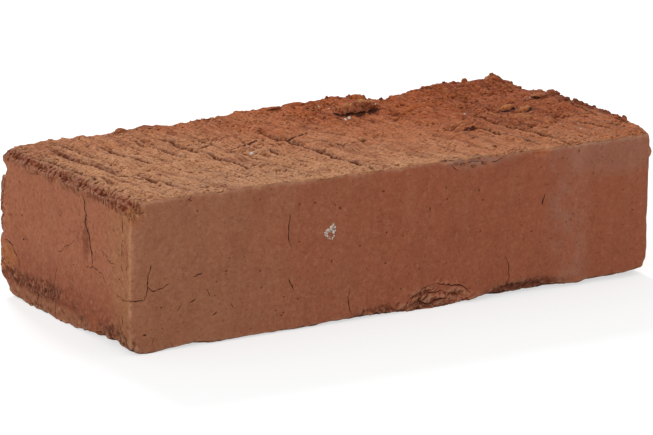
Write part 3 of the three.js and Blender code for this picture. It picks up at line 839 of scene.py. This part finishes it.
# Skin of the stretchers, paler towards the left, and of the headers, with a tan front margin.
across_front = total(tree, x, swing(tree, mottle, 50.0))
skin = mixed(tree, rise(tree, across_front, -110.0, 10.0), linear("9C6448"), linear("9C573C"))
# the headers go darker towards their foot: painted shade near the floor
header_clay = mixed(tree, rise(tree, z, 8.0, 36.0), linear("965339"), linear("AA6749"))
front_margin = rise(tree, total(tree, y, swing(tree, mottle, 14.0)), -36.0, -52.0, 0, 0.5)
header_clay = tinted(header_clay, front_margin, "A6744B")
header_clay = spotted(header_clay, (-126, -18.5, 40), (8, 2.6, 8), 1.0, "82442C", soft=0.6)
header_clay = spotted(header_clay, (-126, 53, 18), (8, 7, 5), 0.5, "B4703E", soft=0.5)
on_header = rise(tree, facing[0], -0.55, -0.8)
skin = mixed(tree, on_header, skin, header_clay)
# streaks drawn by the die, blotches and fine mottling
die_streak = noise(tree, drawn_out(tree, place, (0, 0, 1), 14.0), 6.0, 3.0)
skin = tinted(skin, rise(tree, die_streak, 0.5, 0.8, 0.0, 0.12), "B5866C")
skin = tinted(skin, rise(tree, blotch, 0.5, 0.7, 0.0, 0.22), "84452E")
lively = calc(tree, "MAXIMUM", product(tree, on_header, 0.62),
              rise(tree, x, -60.0, 100.0, 0.36, 0.27))
skin = tinted(skin, product(tree, lively, rise(tree, fine_mottle, 0.5, 0.7)), "7C4430")
skin = tinted(skin, product(tree, lively, rise(tree, fine_mottle, 0.5, 0.3, 0.0, 0.86)), "B58468")
# a pale scummed strip towards the right, and pale and dark smears along the upper arris
pale = bump_between(tree, total(tree, x, swing(tree, blotch, 8.0)), 80.0, 90.0, 9.0)
skin = tinted(skin, product(tree, pale, rise(tree, blotch, 0.35, 0.65, 0.05, 0.25)), "B08A78")
skin = spotted(skin, (102, -60, 64), (34, 4, 3), 0.45, "9C7C6A")
skin = spotted(skin, (112, -60, 57), (24, 4, 10), 0.2, "A08674")
smear = rise(tree, fine_mottle, 0.35, 0.6, 0.1, 0.7)
skin = spotted(skin, (42, -60, 64), (18, 6, 4.5), smear, "94796A", soft=0.5)
skin = spotted(skin, (71, -60, 65), (6, 5, 5), 0.5, "B0663F")
# scuffs are dark and blotched
blots = rise(tree, noise(tree, place, 6.0, 4.0, 0.7), 0.4, 0.62)
skin = tinted(skin, product(tree, mark("scuffed"), blots, 0.85), "643420")
fine_blots = rise(tree, fine_mottle, 0.45, 0.62, 0.0, 0.85)
skin = tinted(skin, product(tree, mark("scuffed"), fine_blots), "522A1C")
# painted shade at the foot of the front stretcher, under its worn lower arris
skin = spotted(skin, (64, -61, 2), (19, 7, 4.5), 0.6, "6E3C2A")
skin = spotted(skin, (15, -59, 3), (8, 6, 2.5), 0.6, "5E3222")
smooth_lip = product(tree, on_header, rise(tree, z, 7.5, 5.0), rise(tree, y, -26.0, -18.0))
skin = tinted(skin, product(tree, smooth_lip, 0.6), "A06A4C")
skin = spotted(skin, (-126, -28, 5), (5, 3, 5), 0.6, "A45C34")

# The torn bed, sandy at the left and the front and burnt redder towards the back and the right.
redder = total(tree, product(tree, x, 0.6), product(tree, y, 0.8), swing(tree, mottle, 50.0))
bed = mixed(tree, rise(tree, redder, -58.0, 75.0), linear("CE8D5E"), linear("B4531E"))
dust_and_highlight = mixed(tree, rise(tree, redder, -58.0, 75.0), linear("D5AA8A"), linear("CC8752"))
dull = rise(tree, total(tree, x, swing(tree, mottle, 30.0)), 50.0, 90.0)
bed = tinted(bed, product(tree, dull, rise(tree, y, -30.0, -14.0), 0.5), "84381A")
bed = tinted(bed, rise(tree, blotch, 0.48, 0.66, 0.0, 0.42), "A0542F")
# its grit, darker and dustier by turns, less so where the wire ran clean
calm = clean_cut(tree, place)
sandy = noise(tree, place, 3.6, 3.0, 0.65)
gritty = noise(tree, place, 1.1, 3.0, 0.7)
dark_sand = product(tree, rise(tree, sandy, 0.5, 0.68), rise(tree, calm, 0.0, 1.0, 0.22, 0.18))
pale_sand = product(tree, rise(tree, sandy, 0.5, 0.32), rise(tree, calm, 0.0, 1.0, 0.26, 0.24))
bed = tinted(bed, dark_sand, "824424")
bed = mixed(tree, pale_sand, bed, dust_and_highlight)
bed = tinted(bed, rise(tree, gritty, 0.5, 0.68, 0.0, 0.55), "7C4426")
bed = mixed(tree, rise(tree, gritty, 0.5, 0.34, 0.0, 0.3), bed, dust_and_highlight)
striped = noise(tree, drawn_out(tree, place, drag, 12.0), 4.0, 3.0)
bed = darkened(bed, rise(tree, striped, 0.5, 0.66, 0.0, 0.5))
# painted shade in the nicks that the wire plucked out
bed = darkened(bed, product(tree, nicks(tree, place, mark("furrow_wall_shade")), 0.6))
dusty = calc(tree, "MAXIMUM", patch(tree, ragged_place, (-72, -44, 66), (36, 18, 30), 0.5),
             patch(tree, ragged_place, (106, -40, 66), (26, 20, 30), 0.5))
bed = tinted(bed, product(tree, dusty, rise(tree, sandy, 0.4, 0.6, 0.0, 0.25)), "B49478")
bed = spotted(bed, (-116, 50, 64), (16, 14, 20), 0.35, "8E482A")
# the curl and the lumps are paler and the right arris darker; painted shadow lies under the
# curl's foot and a painted highlight along its top
lump_tints_shade_and_highlight = [
    ((37, 43.5, 68), (13, 4, 3.5), "B46C3C"), ((96, 12, 66), (6, 4, 4), "C88446"),
    ((99, 2, 66), (5, 3, 4), "C07C46"), ((94, -7, 65), (5, 2.5, 4), "C07C46"),
    ((113, 14.8, 66.5), (8, 2.2, 2.5), "CC8C64"), ((124, -15, 66), (4, 32, 5), "6E3C28"),
    # painted shadow under the curl's foot, and a painted highlight along its top
    ((38, 40.2, 64.8), (11, 1.6, 1.6), "5A2C1A"), ((38, 43.0, 67.4), (11, 2.5, 1.0), "D49A66"),
]
for centre, reach, tint in lump_tints_shade_and_highlight:
    bed = spotted(bed, centre, reach, 0.55, tint)

# Over both lie the comb's red fibres, painted shade between the fibres and in furrows, hollows
# and cracks, a painted highlight on what stands proud, and dark specks.
torn, grain_height = mark("torn"), mark("grain_height")
colour = mixed(tree, torn, skin, bed)
colour = spotted(colour, (-122.5, -60, 60), (4, 4, 6), 0.55, "9C5E38")
over_arris = mark("over_arris")
colour = tinted(colour, product(tree, over_arris, rise(tree, x, -118.0, -123.0, 0.0, 0.85)), "86361E")
# painted shade in the gaps between the fibres
colour = darkened(colour, product(tree, over_arris, rise(tree, x, -119.0, -123.0, 0.15, 0.8),
                                  rise(tree, strands(tree, place), 0.02, 0.22, 1.0, 0.0)))
# painted shade on the far wall of each furrow and tear, reddish brown
furrow_wall_shade = product(tree, mark("furrow_wall_shade"), rise(tree, fine_mottle, 0.4, 0.6, 0.6, 0.9))
colour = tinted(colour, furrow_wall_shade, "74381F")
broad_shade = product(tree, rise(tree, mark("broad_height"), 0.1, -1.0, 0.0, 0.7),
                      rise(tree, torn, 0.0, 1.0, 0.3, 1.0))
fine_shade = rise(tree, grain_height, 0.0, -0.25, 0.0, 0.8)
shade = product(tree, calc(tree, "MAXIMUM", broad_shade, fine_shade),
                rise(tree, mark("furrow_wall_shade"), 0.0, 0.7, 1.0, 0.5))
colour = tinted(colour, shade, "582B18")
# painted highlight: what stands proud goes paler, towards the dusty tan
colour = mixed(tree, rise(tree, grain_height, 0.02, 0.25, 0.0, 0.3), colour, dust_and_highlight)
speck = noise(tree, drawn_out(tree, place, (1.0, 0.1, 0.0), 1.6), 0.8, 2.0)
speckled = product(tree, rise(tree, speck, 0.58, 0.7), rise(tree, torn, 0.0, 1.0, 0.35, 0.8))
colour = tinted(colour, speckled, "5C2E1A")
colour = tinted(colour, product(tree, mark("cleft"), 0.8), "35190F")

grain = product(tree, noise(tree, place, 1.2, 4.0, 0.7), rise(tree, torn, 0.0, 1.0, 0.4, 2.8))
bump = node(tree, "ShaderNodeBump", {"Height": grain, "Distance": 0.7 * mm, "Strength": 0.8})
surface = node(tree, "ShaderNodeBsdfPrincipled", {
    "Base Color": colour, "Roughness": 0.92, "Specular IOR Level": 0.25, "Normal": bump.outputs[0]})
node(tree, "ShaderNodeOutputMaterial", {"Surface": surface.outputs[0]})

brick.data.materials.clear()
brick.data.materials.append(clay)
bpy.ops.object.shade_smooth_by_angle(angle=math.radians(38))
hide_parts("brick")
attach(brick, "root")


# ---- Grains of lime and quartz ----------------------------------------------
# A few white grains of lime and quartz that were in the clay show at its faces: a ring of them on
# the front stretcher, and single ones on the bed. They are burnt in, half sunk in the surface.

# along and up the stretcher with each grain's size, and along and across the bed
on_stretcher = [
    (-30.5, 42.5, 1.0), (-31.1, 42.0, 1.0), (-30.0, 42.9, 0.8), (-29.4, 42.0, 0.6),
    (-32.0, 41.0, 0.8), (-32.5, 41.3, 0.7), (-33.2, 40.9, 0.8), (-33.9, 40.1, 0.8),
    (-33.2, 39.7, 0.6), (-33.9, 39.1, 0.5), (-33.0, 38.5, 0.6), (-32.2, 38.0, 0.7),
    (-31.8, 37.5, 0.6), (-32.9, 37.6, 0.4), (-30.0, 40.2, 0.8), (-29.5, 40.5, 0.6),
    (-30.5, 40.0, 0.6), (-29.8, 38.4, 0.5), (-30.2, 37.6, 0.5), (-30.6, 37.0, 0.5),
    (-31.9, 40.3, 0.6),
]
on_bed = [
    (-39.5, -6.2, 0.9), (-38, -5.4, 0.7), (28, 33, 0.9), (29.6, 32.6, 0.9), (110.8, 15.2, 0.8),
    (109.6, 15.6, 0.6), (101.8, -42.4, 0.6), (76.3, 13, 0.7), (25.3, 52, 0.7), (28, 48, 0.6),
    (47.6, 41.6, 0.6),
]
grains = []
for along, height, size in on_stretcher:
    grains.append(rough_ball(front_stretcher((along, height))[0] + 0.3 * Y, size))
for along, across, size in on_bed:
    grains.append(rough_ball(upper((along, across))[0], size))
lime = joined(grains, "white_grains")
white, tree, place = new_finish("burnt_lime")
dusted = rise(tree, noise(tree, place, 0.8, 2.0), 0.35, 0.6)
chalk = mixed(tree, dusted, linear("96705A"), linear("D2C6BC"))
surface = node(tree, "ShaderNodeBsdfPrincipled", {"Base Color": chalk, "Roughness": 0.7})
node(tree, "ShaderNodeOutputMaterial", {"Surface": surface.outputs[0]})
lime.data.materials.append(white)
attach(lime, "root")


# ---- The floor and the lamps ------------------------------------------------
# A plain white table top, wide enough to fill the view, in a plain bright room. A small lamp
# stands high behind the brick and a wide one to the front and left of it.

bpy.ops.object.select_all(action="DESELECT")
bpy.ops.mesh.primitive_plane_add(size=30.0, location=(0, 0, 0))
floor = bpy.context.object
floor.name = "floor"
paper = bpy.data.materials.new("white_paper")
paper.use_nodes = True
tree = paper.node_tree
tree.nodes.clear()
seen = node(tree, "ShaderNodeLightPath")
diffuse = node(tree, "ShaderNodeBsdfDiffuse", {"Color": (0.5, 0.5, 0.5, 1.0)})
glow_seen = calc(tree, "MULTIPLY", seen.outputs["Is Camera Ray"], 0.6)
glow = node(tree, "ShaderNodeEmission", {"Color": (1.0, 1.0, 1.0, 1.0), "Strength": glow_seen})
both = node(tree, "ShaderNodeAddShader", {0: diffuse.outputs[0], 1: glow.outputs[0]})
node(tree, "ShaderNodeOutputMaterial", {"Surface": both.outputs[0]})
floor.data.materials.append(paper)

world = bpy.data.worlds.new("room")
bpy.context.scene.world = world
world.use_nodes = True
tree = world.node_tree
tree.nodes.clear()
seen = node(tree, "ShaderNodeLightPath")
brightness = rise(tree, seen.outputs["Is Camera Ray"], 0.0, 1.0, 0.6, 1.0)
room = node(tree, "ShaderNodeBackground", {"Color": (1.0, 1.0, 1.0, 1.0), "Strength": brightness})
node(tree, "ShaderNodeOutputWorld", {"Surface": room.outputs[0]})


brick_middle = Vector((0, 0, 0.03))


def soft_lamp(name, place, size, watts):
    """A square lamp that looks at the brick."""
    lamp = bpy.data.lights.new(name, "AREA")
    lamp.size, lamp.energy = size, watts
    made = bpy.data.objects.new(name, lamp)
    bpy.context.collection.objects.link(made)
    made.location = place
    made.rotation_mode = "QUATERNION"
    made.rotation_quaternion = (Vector(place) - brick_middle).to_track_quat("Z", "Y")


soft_lamp("key", (0.3, 1.45, 1.1), 0.4, 20.1)
soft_lamp("fill", (-1.9, -1.7, 1.0), 1.2, 31.0)


# ---- The camera -------------------------------------------------------------
# A long lens, two metres off and a little above the table, looks at the brick's front left
# upright arris, with the left header and the front stretcher to its sides.

camera = bpy.data.cameras.new("camera")
camera.lens = 285.0
camera.sensor_width = 36.0
camera.clip_start, camera.clip_end = 0.1, 50.0
viewer = bpy.data.objects.new("camera", camera)
bpy.context.collection.objects.link(viewer)
turn, tilt, roll = math.radians(28.82), math.radians(14.24), math.radians(-0.74)
viewer.matrix_world = (Matrix.Translation(Vector((-1036.46, -1883.27, 574.8)) * mm)
                       @ Matrix.Rotation(-turn, 4, "Z") @ Matrix.Rotation(math.pi / 2 - tilt, 4, "X")
                       @ Matrix.Rotation(roll, 4, "Z"))
scene = bpy.context.scene
scene.camera = viewer
scene.view_settings.view_transform = "Standard"
